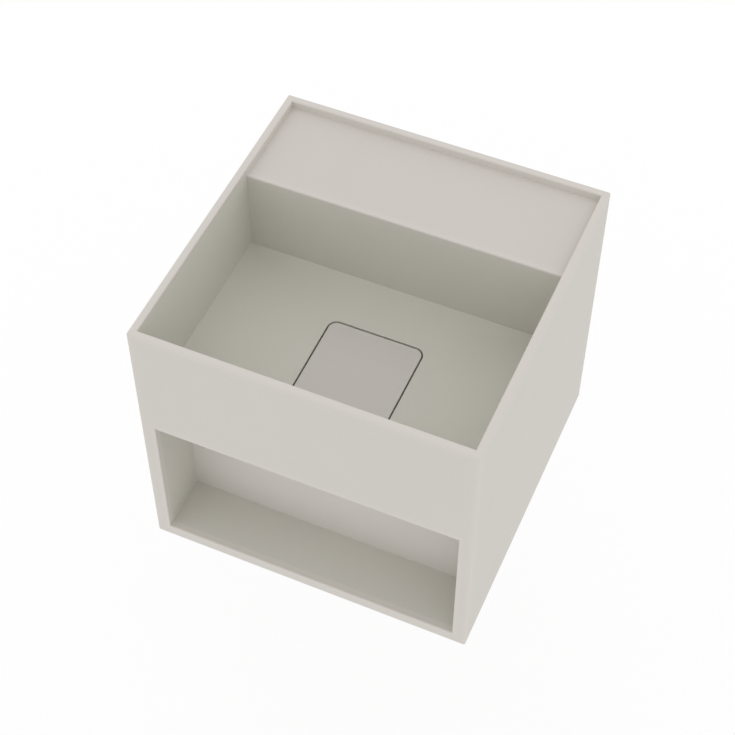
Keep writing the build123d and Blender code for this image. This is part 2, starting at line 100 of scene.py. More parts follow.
def linear(hex_colour: str) -> tuple[float, float, float, float]:
    """Turn an sRGB hex colour into the linear RGBA that a shader takes.

    Args:
        hex_colour: six hex digits after a hash sign.

    Returns:
        Linear red, green and blue, with an alpha of one.
    """
    channels = []
    for start in (1, 3, 5):
        value = int(hex_colour[start:start + 2], 16) / 255
        if value <= SRGB_KNEE:
            channels.append(value / SRGB_SLOPE)
        else:
            channels.append(((value + SRGB_OFFSET) / (1 + SRGB_OFFSET)) ** SRGB_POWER)
    return (channels[0], channels[1], channels[2], 1.0)


def add_node(
    tree: bpy.types.NodeTree, kind: str, values: dict | None = None, links: dict | None = None,
    **settings: object,
) -> bpy.types.Node:
    """Add one shader node, set it up and link its inputs.

    Args:
        tree: the node tree that gets the node.
        kind: the node's type name.
        values: plain values by input socket.
        links: output sockets by the input socket that they feed.
        settings: the node's own properties.

    Returns:
        The new node.
    """
    node = tree.nodes.new(kind)
    for name, value in settings.items():
        setattr(node, name, value)
    for socket, value in (values or {}).items():
        node.inputs[socket].default_value = value
    for socket, source in (links or {}).items():
        tree.links.new(source, node.inputs[socket])
    return node


@dataclass(frozen=True)
class Finish:
    """What every finish shares: a name, and one material made on first use."""

    name: str = "finish"

    def material(self) -> bpy.types.Material:
        """Return this finish's material, built on first use."""
        made = bpy.data.materials.get(self.name)
        if made is None:
            made = bpy.data.materials.new(self.name)
            made.use_nodes = True
            made.node_tree.nodes.clear()
            shader = self.shade(made.node_tree)
            add_node(made.node_tree, "ShaderNodeOutputMaterial", links={"Surface": shader})
        return made

    def shade(self, tree: bpy.types.NodeTree) -> bpy.types.NodeSocket:
        """Build the shader's nodes and return the output that shows them."""
        raise NotImplementedError


@dataclass(frozen=True)
class BasinEdges:
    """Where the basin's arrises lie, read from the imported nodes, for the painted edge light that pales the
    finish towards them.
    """

    half_width: float
    half_depth: float
    rim: float
    wall: float
    deck_front: float
    deck_top: float
    niche_half_width: float
    niche_bottom: float
    niche_top: float

    @classmethod
    def read(cls) -> "BasinEdges":
        """Return the places of the arrises."""
        high = cad_box[1]
        deck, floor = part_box("deck_panel"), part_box("niche_floor")
        return cls(
            half_width=high.x,
            half_depth=high.y,
            rim=high.z,
            wall=high.x - floor[1].x,
            deck_front=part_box("bowl_rear_wall")[0].y,
            deck_top=deck[1].z,
            niche_half_width=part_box("niche_right_cheek")[0].x,
            niche_bottom=floor[1].z,
            niche_top=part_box("niche_ceiling")[0].z,
        )


class SheetTintAndPaintedShade(Enum):
    """The sheets' pale and dark cloud colours, a hair apart in tint from group to group. The greener, darker
    tints of the linings and the bowl floor are painted shade, standing in for the greener shade inside the
    niche and the bowl; the deck and the cover are a hair darker than the walls.
    """

    WALLS = ("#CCC8C1", "#CAC5BF")
    DECK = ("#CCC6C0", "#C9C3BD")
    # Painted shade: the linings' and the bowl floor's greener, darker tints stand in for the shade in the
    # niche and the bowl.
    LININGS = ("#CBC9C0", "#C9C6BE")
    BOWL_FLOOR = ("#CAC8BE", "#C8C5BC")
    COVER = ("#CAC6C0", "#C8C4BE")


@dataclass(frozen=True)
class SandedSolidSurface(Finish):
    """Cast solid surface: mineral-filled resin, sanded matte with an orbital sander.

    To the eye it is one even warm greige with no gloss. Its base colour has painted light in it: the arrises
    are painted a shade paler than the faces, as a painted highlight standing in for light that soaks a few
    millimetres into the resin, and so are the inner sides of sheets that daylight falls on from behind. A
    painted glow also pales the deck along the foot of the low rim behind it, standing in for light soaking
    through that rim. Close up there is a faint cloudiness from the casting, a fine mineral grain, and a
    sanding haze that keeps every highlight wide and soft. The mineral and the sanding marks are about 0.1 mm
    wide, too fine to show, so both are drawn coarser.
    """

    name: str = "sanded_cast_solid_surface"
    tint_and_shade: SheetTintAndPaintedShade = SheetTintAndPaintedShade.LININGS
    # Painted light: the colours, depths and shares below paint paler arrises, paler inner sides and a paler
    # rim foot into the base colour.
    painted_edge_light_colour: str = "#D1CBC5"
    painted_backlight_colour: str = "#CFCDC4"
    grain_colour: str = "#C1BBB3"
    cloud_size: float = 55 * MM
    grain_size: float = 0.9 * MM
    grain_strength: float = 0.35
    grain_start: float = 0.55
    grain_full: float = 0.72
    sanding_size: float = 0.5 * MM
    sanding_depth: float = 0.01 * MM
    roughness_low: float = 0.57
    roughness_high: float = 0.65
    ior: float = 1.50
    painted_edge_light_depth: float = 4.5 * MM
    painted_rim_glow_depth: float = 9 * MM
    painted_rim_glow_share: float = 0.75
    painted_backlight_share: float = 0.0

    def shade(self, tree: bpy.types.NodeTree) -> bpy.types.NodeSocket:
        """Build the shader's nodes and return the output that shows them."""
        pale_cloud, dark_cloud = self.tint_and_shade.value
        place = add_node(tree, "ShaderNodeTexCoord").outputs["Object"]
        cloud = add_node(
            tree, "ShaderNodeTexNoise", {"Scale": 1 / self.cloud_size, "Detail": 3.0}, {"Vector": place}
        ).outputs["Fac"]
        tint = add_node(
            tree, "ShaderNodeMix", {"A": linear(dark_cloud), "B": linear(pale_cloud)}, {"Factor": cloud},
            data_type="RGBA",
        ).outputs["Result"]
        grain = add_node(
            tree, "ShaderNodeTexNoise", {"Scale": 1 / self.grain_size, "Detail": 2.0}, {"Vector": place}
        ).outputs["Fac"]
        fleck = add_node(
            tree, "ShaderNodeMapRange",
            {"From Min": self.grain_start, "From Max": self.grain_full, "To Max": self.grain_strength},
            {"Value": grain},
        ).outputs["Result"]
        cast = add_node(
            tree, "ShaderNodeMix", {"B": linear(self.grain_colour)}, {"Factor": fleck, "A": tint},
            data_type="RGBA",
        ).outputs["Result"]
        # Painted light: these shares pale the colour at the edges and on the inner sides, standing in for
        # light soaked into the resin.
        painted_edge_share, painted_backlight_factor = self.painted_soaked_light(tree, place)
        painted_backlit = add_node(
            tree, "ShaderNodeMix", {"B": linear(self.painted_backlight_colour)}, {"Factor": painted_backlight_factor, "A": cast},
            data_type="RGBA",
        ).outputs["Result"] if self.painted_backlight_share else cast
        colour = add_node(
            tree, "ShaderNodeMix", {"B": linear(self.painted_edge_light_colour)}, {"Factor": painted_edge_share, "A": painted_backlit},
            data_type="RGBA",
        ).outputs["Result"]
        sanding = add_node(
            tree, "ShaderNodeTexNoise", {"Scale": 1 / self.sanding_size, "Detail": 4.0}, {"Vector": place}
        ).outputs["Fac"]
        haze = add_node(
            tree, "ShaderNodeMapRange", {"To Min": self.roughness_low, "To Max": self.roughness_high},
            {"Value": sanding},
        ).outputs["Result"]
        relief = add_node(
            tree, "ShaderNodeBump", {"Strength": 1.0, "Distance": self.sanding_depth}, {"Height": sanding}
        ).outputs["Normal"]
        return add_node(
            tree, "ShaderNodeBsdfPrincipled", {"IOR": self.ior},
            {"Base Color": colour, "Roughness": haze, "Normal": relief},
        ).outputs["BSDF"]

    def painted_soaked_light(
        self, tree: bpy.types.NodeTree, place: bpy.types.NodeSocket
    ) -> tuple[bpy.types.NodeSocket, bpy.types.NodeSocket]:
        """Build the shares of the paler colours that are painted light, standing in for light soaked into the
        resin.

        Args:
            tree: the material's node tree.
            place: the point in the basin's own frame.

        Returns:
            The painted edge light's share, which fades with the distance from each arris and from the foot of
            the rim behind the deck, and the painted backlight's share, standing in for light that comes
            through a sheet, which is nought on its outer side.
        """
        edges = BasinEdges.read()
        axes = add_node(tree, "ShaderNodeSeparateXYZ", links={"Vector": place}).outputs

        def calc(operation: str, first: object, second: object = 0.0) -> bpy.types.NodeSocket:
            """Return the result of one sum on sockets or plain numbers."""
            terms = {0: first, 1: second}
            values = {slot: term for slot, term in terms.items() if isinstance(term, float)}
            links = {slot: term for slot, term in terms.items() if not isinstance(term, float)}
            return add_node(tree, "ShaderNodeMath", values, links, operation=operation).outputs["Value"]

        def fade(distance: bpy.types.NodeSocket, depth: float = self.painted_edge_light_depth) -> bpy.types.NodeSocket:
            """Return one on the line that the distance is from, falling away over a depth."""
            return calc("EXPONENT", calc("MULTIPLY", distance, -1 / depth))

        # The masks below set where painted edge light pales the colour.
        aside = calc("ABSOLUTE", axes["X"])
        in_x = calc("SUBTRACT", edges.half_width, aside)
        in_y = calc("SUBTRACT", edges.half_depth, calc("ABSOLUTE", axes["Y"]))
        rims = fade(calc("SUBTRACT", edges.rim, axes["Z"]))
        uprights = fade(calc("MAXIMUM", in_x, in_y))
        feet = fade(axes["Z"])
        over_deck = calc("SUBTRACT", axes["Z"], edges.deck_top)
        deck_edge = fade(self.span(calc, calc("SUBTRACT", axes["Y"], edges.deck_front), over_deck))
        middle = (edges.niche_top + edges.niche_bottom) / 2
        beside = calc("SUBTRACT", aside, edges.niche_half_width)
        off_middle = calc("ABSOLUTE", calc("SUBTRACT", axes["Z"], middle))
        above = calc("SUBTRACT", off_middle, edges.niche_top - middle)
        front = calc("ADD", axes["Y"], edges.half_depth)
        niche_edge = fade(self.span(calc, calc("MAXIMUM", beside, above), front))
        middle_of_wall = edges.wall / 2
        inner_side = calc("GREATER_THAN", calc("MINIMUM", in_x, in_y), middle_of_wall)
        from_rim = self.span(calc, calc("SUBTRACT", in_y, edges.wall), over_deck)
        # Painted glow: the deck is painted paler along the foot of the rim behind it.
        painted_through_rim = calc("MULTIPLY", fade(from_rim, self.painted_rim_glow_depth), self.painted_rim_glow_share)
        painted_rim_glow = calc("MULTIPLY", painted_through_rim, inner_side)
        painted_light_total = rims
        for share in (uprights, feet, deck_edge, niche_edge, painted_rim_glow):
            painted_light_total = calc("MAXIMUM", painted_light_total, share)
        return painted_light_total, calc("MULTIPLY", inner_side, self.painted_backlight_share)

    @staticmethod
    def span(
        calc: Callable, first: bpy.types.NodeSocket, second: bpy.types.NodeSocket
    ) -> bpy.types.NodeSocket:
        """Return the length of the hypotenuse over two distances."""
        return calc("SQRT", calc("ADD", calc("MULTIPLY", first, first), calc("MULTIPLY", second, second)))


@dataclass(frozen=True)
class PolishedChrome(Finish):
    """Chrome plate on turned and polished brass.

    To the eye it is a cool dark-and-bright mirror. The polishing wheel leaves a slow ripple, so that
    reflections waver a little, and handling leaves a faint haze.
    """

    name: str = "polished_chrome_plate"
    colour: str = "#C8CACC"
    ripple_size: float = 7 * MM
    ripple_depth: float = 0.02 * MM
    haze_size: float = 3 * MM
    roughness_low: float = 0.05
    roughness_high: float = 0.14

    def shade(self, tree: bpy.types.NodeTree) -> bpy.types.NodeSocket:
        """Build the shader's nodes and return the output that shows them."""
        place = add_node(tree, "ShaderNodeTexCoord").outputs["Object"]
        ripple = add_node(
            tree, "ShaderNodeTexNoise", {"Scale": 1 / self.ripple_size, "Detail": 1.0}, {"Vector": place}
        ).outputs["Fac"]
        relief = add_node(
            tree, "ShaderNodeBump", {"Strength": 1.0, "Distance": self.ripple_depth}, {"Height": ripple}
        ).outputs["Normal"]
        smear = add_node(
            tree, "ShaderNodeTexNoise", {"Scale": 1 / self.haze_size, "Detail": 4.0}, {"Vector": place}
        ).outputs["Fac"]
        haze = add_node(
            tree, "ShaderNodeMapRange", {"To Min": self.roughness_low, "To Max": self.roughness_high},
            {"Value": smear},
        ).outputs["Result"]
        return add_node(
            tree, "ShaderNodeBsdfPrincipled", {"Base Color": linear(self.colour), "Metallic": 1.0},
            {"Roughness": haze, "Normal": relief},
        ).outputs["BSDF"]


@dataclass(frozen=True)
class BrushedSteel(Finish):
    """Stainless steel strip, belt-brushed before it is pressed.

    To the eye it is a warm grey metal with a soft sheen that is drawn out across fine parallel scratches.
    The scratches are about 0.05 mm wide, too fine to show, so they are drawn wider.
    """

    name: str = "brushed_stainless_steel"
    pale_colour: str = "#C9C7C2"
    dark_colour: str = "#B4B1AC"
    scratch_width: float = 0.35 * MM
    scratch_length: float = 14 * MM
    scratch_depth: float = 0.008 * MM
    roughness_low: float = 0.24
    roughness_high: float = 0.40

    def shade(self, tree: bpy.types.NodeTree) -> bpy.types.NodeSocket:
        """Build the shader's nodes and return the output that shows them."""
        place = add_node(tree, "ShaderNodeTexCoord").outputs["Object"]
        across = (1 / self.scratch_length, 1 / self.scratch_width, 1 / self.scratch_width)
        drawn = add_node(tree, "ShaderNodeMapping", {"Scale": across}, {"Vector": place}).outputs["Vector"]
        scratch = add_node(
            tree, "ShaderNodeTexNoise", {"Scale": 1.0, "Detail": 3.0}, {"Vector": drawn}
        ).outputs["Fac"]
        colour = add_node(
            tree, "ShaderNodeMix", {"A": linear(self.dark_colour), "B": linear(self.pale_colour)},
            {"Factor": scratch}, data_type="RGBA",
        ).outputs["Result"]
        haze = add_node(
            tree, "ShaderNodeMapRange", {"To Min": self.roughness_low, "To Max": self.roughness_high},
            {"Value": scratch},
        ).outputs["Result"]
        relief = add_node(
            tree, "ShaderNodeBump", {"Strength": 1.0, "Distance": self.scratch_depth}, {"Height": scratch}
        ).outputs["Normal"]
        return add_node(
            tree, "ShaderNodeBsdfPrincipled", {"Metallic": 1.0},
            {"Base Color": colour, "Roughness": haze, "Normal": relief},
        ).outputs["BSDF"]


@dataclass(frozen=True)
class MouldedRubber(Finish):
    """Nitrile rubber, compression moulded in a spark-eroded tool and dusted with talc.

    To the eye it is a dry near-black with no clear highlight, greyer where the talc has stayed. The pits
    that the tool leaves are about 0.1 mm wide, too fine to show, so they are drawn wider.
    """

    name: str = "moulded_nitrile_rubber"
    colour: str = "#242425"
    talc_colour: str = "#4A4A49"
    talc_size: float = 6 * MM
    talc_start: float = 0.45
    talc_full: float = 0.75
    talc_share: float = 0.6
    pit_size: float = 0.6 * MM
    pit_depth: float = 0.03 * MM
    roughness: float = 0.78
    ior: float = 1.52

    def shade(self, tree: bpy.types.NodeTree) -> bpy.types.NodeSocket:
        """Build the shader's nodes and return the output that shows them."""
        place = add_node(tree, "ShaderNodeTexCoord").outputs["Object"]
        dusting = add_node(
            tree, "ShaderNodeTexNoise", {"Scale": 1 / self.talc_size, "Detail": 5.0}, {"Vector": place}
        ).outputs["Fac"]
        cover = add_node(
            tree, "ShaderNodeMapRange",
            {"From Min": self.talc_start, "From Max": self.talc_full, "To Max": self.talc_share},
            {"Value": dusting},
        ).outputs["Result"]
        colour = add_node(
            tree, "ShaderNodeMix", {"A": linear(self.colour), "B": linear(self.talc_colour)},
            {"Factor": cover}, data_type="RGBA",
        ).outputs["Result"]
        pits = add_node(
            tree, "ShaderNodeTexVoronoi", {"Scale": 1 / self.pit_size}, {"Vector": place}
        ).outputs["Distance"]
        relief = add_node(
            tree, "ShaderNodeBump", {"Strength": 1.0, "Distance": self.pit_depth}, {"Height": pits}
        ).outputs["Normal"]
        return add_node(
            tree, "ShaderNodeBsdfPrincipled", {"Roughness": self.roughness, "IOR": self.ior},
            {"Base Color": colour, "Normal": relief},
        ).outputs["BSDF"]


@dataclass(frozen=True)
class MouldedPolypropylene(Finish):
    """White polypropylene, injection moulded with a lightly textured tool.

    To the eye it is a soft, slightly warm white with a satin sheen and a trace of flow marking. The tool's
    texture is about 0.1 mm wide, too fine to show, so it is drawn coarser.
    """

    name: str = "moulded_white_polypropylene"
    colour: str = "#E4E3DE"
    flow_colour: str = "#DCDBD5"
    flow_size: float = 18 * MM
    texture_size: float = 0.7 * MM
    texture_depth: float = 0.012 * MM
    roughness_low: float = 0.34
    roughness_high: float = 0.46
    ior: float = 1.49

    def shade(self, tree: bpy.types.NodeTree) -> bpy.types.NodeSocket:
        """Build the shader's nodes and return the output that shows them."""
        place = add_node(tree, "ShaderNodeTexCoord").outputs["Object"]
        flow = add_node(
            tree, "ShaderNodeTexNoise", {"Scale": 1 / self.flow_size, "Detail": 2.0, "Distortion": 0.6},
            {"Vector": place},
        ).outputs["Fac"]
        colour = add_node(
            tree, "ShaderNodeMix", {"A": linear(self.flow_colour), "B": linear(self.colour)},
            {"Factor": flow}, data_type="RGBA",
        ).outputs["Result"]
        texture = add_node(
            tree, "ShaderNodeTexNoise", {"Scale": 1 / self.texture_size, "Detail": 2.0}, {"Vector": place}
        ).outputs["Fac"]
        haze = add_node(
            tree, "ShaderNodeMapRange", {"To Min": self.roughness_low, "To Max": self.roughness_high},
            {"Value": texture},
        ).outputs["Result"]
        relief = add_node(
            tree, "ShaderNodeBump", {"Strength": 1.0, "Distance": self.texture_depth}, {"Height": texture}
        ).outputs["Normal"]
        return add_node(
            tree, "ShaderNodeBsdfPrincipled", {"IOR": self.ior},
            {"Base Color": colour, "Roughness": haze, "Normal": relief},
        ).outputs["BSDF"]


@dataclass(frozen=True)
class CuredAdhesive(Finish):
    """Two-part acrylic adhesive, tinted to the sheets, gunned in and wiped with a spatula.

    To the eye it is the sheets' greige with a satin skin, and the spatula leaves it slightly wavy.
    """

    name: str = "wiped_colour_matched_adhesive"
    colour: str = "#C8C4BC"
    deep_colour: str = "#BFBAB1"
    wave_size: float = 5 * MM
    wave_depth: float = 0.08 * MM
    roughness: float = 0.38
    ior: float = 1.49

    def shade(self, tree: bpy.types.NodeTree) -> bpy.types.NodeSocket:
        """Build the shader's nodes and return the output that shows them."""
        place = add_node(tree, "ShaderNodeTexCoord").outputs["Object"]
        wave = add_node(
            tree, "ShaderNodeTexNoise", {"Scale": 1 / self.wave_size, "Detail": 1.0}, {"Vector": place}
        ).outputs["Fac"]
        colour = add_node(
            tree, "ShaderNodeMix", {"A": linear(self.deep_colour), "B": linear(self.colour)},
            {"Factor": wave}, data_type="RGBA",
        ).outputs["Result"]
        relief = add_node(
            tree, "ShaderNodeBump", {"Strength": 1.0, "Distance": self.wave_depth}, {"Height": wave}
        ).outputs["Normal"]
        return add_node(
            tree, "ShaderNodeBsdfPrincipled", {"Roughness": self.roughness, "IOR": self.ior},
            {"Base Color": colour, "Normal": relief},
        ).outputs["BSDF"]


@dataclass(frozen=True)
class WhiteFloorPaint(Finish):
    """A studio floor in matt white paint.

    To the camera, and in reflections, most of it is plain white, with the rest of it taking the shadow.
    Seen from below it is clear, so that the underside of the basin can be looked at.
    """

    name: str = "matt_white_floor_paint"
    colour: str = "#FFFFFF"
    shadow_share: float = 0.25

    def shade(self, tree: bpy.types.NodeTree) -> bpy.types.NodeSocket:
        """Build the shader's nodes and return the output that shows them."""
        paint = add_node(tree, "ShaderNodeBsdfDiffuse", {"Color": linear(self.colour)}).outputs["BSDF"]
        white = add_node(tree, "ShaderNodeEmission", {"Strength": 1.0}).outputs["Emission"]
        ray = add_node(tree, "ShaderNodeLightPath").outputs
        seen = add_node(
            tree, "ShaderNodeMath", links={0: ray["Is Camera Ray"], 1: ray["Is Glossy Ray"]},
            operation="MAXIMUM",
        ).outputs["Value"]
        seen = add_node(
            tree, "ShaderNodeMath", links={0: seen, 1: ray["Is Transmission Ray"]}, operation="MAXIMUM"
        ).outputs["Value"]
        share = add_node(
            tree, "ShaderNodeMath", {1: 1 - self.shadow_share}, {0: seen}, operation="MULTIPLY"
        ).outputs["Value"]
        top = add_node(tree, "ShaderNodeMixShader", links={0: share, 1: paint, 2: white}).outputs["Shader"]
        under = add_node(tree, "ShaderNodeBsdfTransparent").outputs["BSDF"]
        back = add_node(tree, "ShaderNodeNewGeometry").outputs["Backfacing"]
        return add_node(tree, "ShaderNodeMixShader", links={0: back, 1: top, 2: under}).outputs["Shader"]


def dress(node_name: str, finish: Finish) -> None:
    """Give a carried-over CAD node its finish.

    Args:
        node_name: the node's name.
        finish: the finish that covers it.
    """
    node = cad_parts[node_name]
    for holder in node.material_slots:
        holder.material = finish.material()
    log.info("%s: %s", node_name, finish.name)


def make_object(name: str, shape: bmesh.types.BMesh, finish: Finish) -> bpy.types.Object:
    """Turn a bmesh, which is freed, into an object in the scene that is covered by a finish."""
    mesh = bpy.data.meshes.new(name)
    shape.to_mesh(mesh)
    shape.free()
    mesh.materials.append(finish.material())
    made = bpy.data.objects.new(name, mesh)
    bpy.context.scene.collection.objects.link(made)
    return made


def add_piece(
    name: str, shape: bmesh.types.BMesh, finish: Finish, body: Body, stands_for: str = "",
    crease: float = CREASE_TURN,
) -> None:
    """Turn a finished bmesh into a dressed piece that rides on a body.

    Args:
        name: the piece's name.
        shape: the bmesh in the basin's own frame, which is freed.
        finish: the finish that covers it.
        body: the body that carries it.
        stands_for: the CAD node that it replaces, if any.
        crease: edges that turn by more than this stay sharp.
    """
    for face in shape.faces:
        face.smooth = True
    for edge in shape.edges:
        edge.smooth = edge.calc_face_angle(0) < crease
    piece = make_object(name, shape, finish)
    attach(piece, body.value)
    if stands_for:
        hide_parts(stands_for)
    log.info("%s: %s, %d faces", name, finish.name, len(piece.data.polygons))


def add_eased(
    name: str, node_name: str, finish: Finish, body: Body, ease: float,
    shape_more: Callable[[bmesh.types.BMesh], None] | None = None, turn_limit: float = ROUNDED_TURN,
) -> None:
    """Replace a CAD node by a merged copy with its sharp edges rounded, as a mould or a tumbler leaves them.

    Args:
        name: the new piece's name.
        node_name: the CAD node that it is copied from and stands for.
        finish: the finish that covers it.
        body: the body that carries it.
        ease: the width that the rounding takes from each side of an edge.
        shape_more: works on the copy before its edges are rounded.
        turn_limit: edges that turn by more than this are rounded.
    """
    shape = bmesh.new()
    shape.from_mesh(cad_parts[node_name].data)
    bmesh.ops.remove_doubles(shape, verts=shape.verts, dist=TINY)
    bmesh.ops.dissolve_limit(
        shape, angle_limit=FLAT_TURN, verts=shape.verts, edges=shape.edges, delimit=set()
    )
    if shape_more:
        shape_more(shape)
    round_edges(shape, [edge for edge in shape.edges if edge.calc_face_angle(0) > turn_limit], ease)
    add_piece(name, shape, finish, body, node_name)


def round_edges(
    shape: bmesh.types.BMesh, edges: list[bmesh.types.BMEdge], ease: float, segments: int = 2
) -> None:
    """Round the edges given, taking that width from each side."""
    bmesh.ops.bevel(
        shape, geom=edges, offset=ease, offset_type="OFFSET", segments=segments, profile=0.5, affect="EDGES",
        material=-1,
    )


def arc(centre: tuple[float, float], radius: float, start: float, end: float, steps: int = 4) -> Outline:
    """Return points along an arc, from one angle in degrees to another."""
    angles = [math.radians(start + (end - start) * step / steps) for step in range(steps + 1)]
    return [(centre[0] + radius * math.cos(angle), centre[1] + radius * math.sin(angle)) for angle in angles]


def turn(shape: bmesh.types.BMesh, outline: Outline, foot: Vector, steps: int = AROUND) -> None:
    """Turn an outline of (radius, height) points about an upright axis into walls.

    Args:
        shape: the bmesh that gets the walls.
        outline: the points from one end to the other, the first again at the end of a closed one.
        foot: any point on the axis.
        steps: how many faces go round.
    """
    verts = [shape.verts.new((foot.x + radius, foot.y, height)) for radius, height in outline]
    edges = [shape.edges.new(pair) for pair in zip(verts, verts[1:])]
    bmesh.ops.spin(
        shape, geom=verts + edges, cent=foot, axis=UP, angle=math.tau, steps=steps, use_merge=True
    )
    bmesh.ops.remove_doubles(shape, verts=shape.verts, dist=TINY)


def open_edges(shape: bmesh.types.BMesh, height: float) -> list[bmesh.types.BMEdge]:
    """Return the open edges of a shape that lie at one height."""
    level = [edge for edge in shape.edges if edge.is_boundary]
    return [edge for edge in level if all(abs(vert.co.z - height) < TINY for vert in edge.verts)]


@dataclass
class Carcass:
    """The mitred outer sheets, the deck, the bowl and the niche linings, bonded out of sight."""

    # Painted light and shade: the walls' inner sides are painted paler as backlight, and the linings and the
    # bowl floor take greener, darker tints that are painted shade.
    wall_finish: Finish = SandedSolidSurface("sanded_cast_walls", SheetTintAndPaintedShade.WALLS, painted_backlight_share=0.9)
    outer_finish: Finish = SandedSolidSurface("sanded_cast_rails", SheetTintAndPaintedShade.WALLS)
    deck_finish: Finish = SandedSolidSurface("sanded_cast_deck", SheetTintAndPaintedShade.DECK)
    lining_finish: Finish = SandedSolidSurface("sanded_cast_linings", SheetTintAndPaintedShade.LININGS)
    floor_finish: Finish = SandedSolidSurface("sanded_cast_bowl_floor", SheetTintAndPaintedShade.BOWL_FLOOR)
    walls: tuple[str, ...] = ("front_panel", "left_side_panel", "right_side_panel", "back_panel")
    outers: tuple[str, ...] = ("niche_back", "hanger_rail", "rear_tie_rail")
    decks: tuple[str, ...] = ("deck_panel",)
    linings: tuple[str, ...] = (
        "bowl_rear_wall", "niche_floor", "niche_left_cheek", "niche_right_cheek", "niche_ceiling"
    )
    floors: tuple[str, ...] = ("bowl_floor", "drain_tray")
    adhesive: Finish = CuredAdhesive()
    bead_size: float = 2.6 * MM
    bead_bite: float = 0.05 * MM
    slot_fill: float = 6 * MM
    tray_corner: float = 18 * MM
    corner_steps: int = 8

    def build(self) -> None:
        """Dress every sheet and lay the beads along the hidden joints."""
        for names, finish in (
            (self.walls, self.wall_finish), (self.outers, self.outer_finish), (self.decks, self.deck_finish),
            (self.linings, self.lining_finish), (self.floors, self.floor_finish),
        ):
            for name in names:
                dress(name, finish)
        self.lay_beads()

    def lay_beads(self) -> None:
        """Lay the adhesive that squeezes out behind the bowl, behind the niche and round the drain tray."""
        shape = bmesh.new()
        slab, wall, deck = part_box("bowl_floor"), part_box("bowl_rear_wall"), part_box("deck_panel")
        rail, tie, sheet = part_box("hanger_rail"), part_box("rear_tie_rail"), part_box("back_panel")
        back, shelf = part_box("niche_back"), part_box("niche_floor")
        under_deck = deck[1].z - (wall[1].y - wall[0].y)
        side, inner_back = slab[1].x, rail[1].y
        ahead, behind = Vector((0, -1, 0)), Vector((0, 1, 0))
        for hand in (-1, 1):
            x, inward = hand * side, Vector((-hand, 0, 0))
            for start, end, leg in (
                ((x, wall[1].y, slab[0].z), (x, wall[1].y, under_deck), behind),
                ((x, wall[1].y, under_deck), (x, inner_back, under_deck), -UP),
                ((x, inner_back, sheet[0].z), (x, inner_back, rail[0].z), ahead),
                ((x, back[1].y, slab[0].z), (x, wall[1].y, slab[0].z), -UP),
                ((x, back[1].y, back[0].z), (x, back[1].y, back[1].z), behind),
                ((x, tie[0].y, tie[0].z), (x, tie[0].y, tie[1].z), ahead),
                ((x, shelf[0].y, shelf[0].z), (x, back[1].y, shelf[0].z), -UP),
            ):
                self.lay_bead(shape, Vector(start), Vector(end), inward, leg)
        for y, z, first, second in (
            (wall[1].y, under_deck, behind, -UP), (inner_back, under_deck, ahead, -UP),
            (inner_back, rail[0].z, ahead, -UP), (inner_back, rail[1].z, ahead, UP),
            (shelf[0].y, shelf[0].z, behind, -UP), (back[1].y, back[1].z, behind, -UP),
        ):
            self.lay_bead(shape, Vector((-side, y, z)), Vector((side, y, z)), first, second)
        self.fill_slot(shape, side, back[1].y, (back[1].z, slab[0].z))
        self.lay_tray_bead(shape)
        bmesh.ops.recalc_face_normals(shape, faces=shape.faces)
        add_piece("adhesive_beads", shape, self.adhesive, Body.ROOT)

    def bead_section(
        self, shape: bmesh.types.BMesh, corner: Vector, first: Vector, second: Vector
    ) -> bmesh.types.BMFace:
        """Add one hollow-wiped section face in the corner between two legs and return it."""
        corner = corner - (first + second) * self.bead_bite
        hollow = arc((self.bead_size, self.bead_size), self.bead_size, 270, 180)
        verts = [shape.verts.new(corner)]
        verts += [shape.verts.new(corner + first * along + second * up) for along, up in hollow]
        return shape.faces.new(verts)

    def lay_bead(
        self, shape: bmesh.types.BMesh, start: Vector, end: Vector, first: Vector, second: Vector
    ) -> None:
        """Lay a straight bead along an inner corner.

        Args:
            shape: the bmesh that gets the bead.
            start: where the bead starts, on the corner's line.
            end: where it ends.
            first: the direction along one sheet, away from the corner.
            second: the direction along the other sheet.
        """
        self.draw_out(shape, self.bead_section(shape, start, first, second), end - start)

    def fill_slot(
        self, shape: bmesh.types.BMesh, side: float, mouth: float, heights: tuple[float, float]
    ) -> None:
        """Fill the slot that is left between the niche and the bowl's slab, wiped hollow at its mouth.

        Args:
            shape: the bmesh that gets the filling.
            side: how far the slot reaches to either side of the middle.
            mouth: where it opens towards the wall.
            heights: the heights of its lower and its upper side.
        """
        half = (heights[1] - heights[0]) / 2 + self.bead_bite
        level = (heights[0] + heights[1]) / 2
        hollow = arc((mouth, level), half, 90, 270, 2 * self.corner_steps)
        root = mouth - self.slot_fill
        outline = hollow + [(root, level - half), (root, level + half)]
        section = shape.faces.new([shape.verts.new((-side, y, z)) for y, z in outline])
        self.draw_out(shape, section, Vector((2 * side, 0, 0)))

    @staticmethod
    def draw_out(shape: bmesh.types.BMesh, section: bmesh.types.BMFace, run: Vector) -> None:
        """Draw a section face out along a straight run into a closed bead."""
        far = bmesh.ops.extrude_face_region(shape, geom=[section], use_keep_orig=True)["geom"]
        moved = [item for item in far if isinstance(item, bmesh.types.BMVert)]
        bmesh.ops.translate(shape, vec=run, verts=moved)

